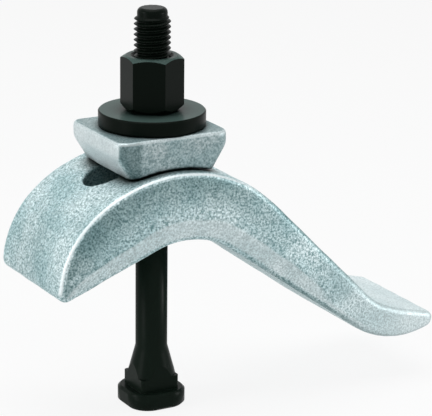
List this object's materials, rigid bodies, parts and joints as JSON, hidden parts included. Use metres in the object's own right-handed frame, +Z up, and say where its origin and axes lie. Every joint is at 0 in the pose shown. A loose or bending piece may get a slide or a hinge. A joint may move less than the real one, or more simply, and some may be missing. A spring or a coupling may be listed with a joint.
{
  "type": "arched T-slot clamp",
  "caption": "Forged arched clamp that holds work on a slotted machine table: a slotted rocking arm pressed down by a saddle, washer and nut on a T-bolt.",
  "frame": {"origin": "centre of the underside of the T-bolt's square head", "axes": "+Z up along the T-bolt, +X towards the long nose of the arm, +Y across the arm"},
  "size_m": [0.1422, 0.0466, 0.1341],
  "materials": {
    "galvanised": "hot-dip galvanised forging, satin",
    "black_oxide": "black oxide, satin"
  },
  "bodies": {
    "bolt": {"t_bolt": "black_oxide"},
    "saddle": {"saddle": "galvanised"},
    "arm": {"clamp_arm": "galvanised"},
    "washer": {"washer": "black_oxide"},
    "nut": {"nut": "black_oxide"}
  },
  "joints": [
    {"name": "saddle_lift", "type": "slide", "parent": "bolt", "child": "saddle", "axis": [0, 0, 1], "range_m": [-0.01225, 0.01225]},
    {"name": "nut_turn", "type": "hinge", "parent": "saddle", "child": "nut", "pos_m": [0, 0, 0.1096], "axis": [0, 0, 1], "range_deg": [-2525, 2525]},
    {"name": "washer_spin", "type": "hinge", "parent": "saddle", "child": "washer", "pos_m": [0, 0, 0.0981], "axis": [0, 0, 1], "continuous": true},
    {"name": "arm_rock", "type": "hinge", "parent": "saddle", "child": "arm", "pos_m": [-0.001, 0, 0.0346], "axis": [0, 1, 0], "range_deg": [-20, 18]}
  ],
  "couplings": [
    {"joint": "nut_turn", "follows": "saddle_lift", "rad_per_m": 3590.4}
  ]
}
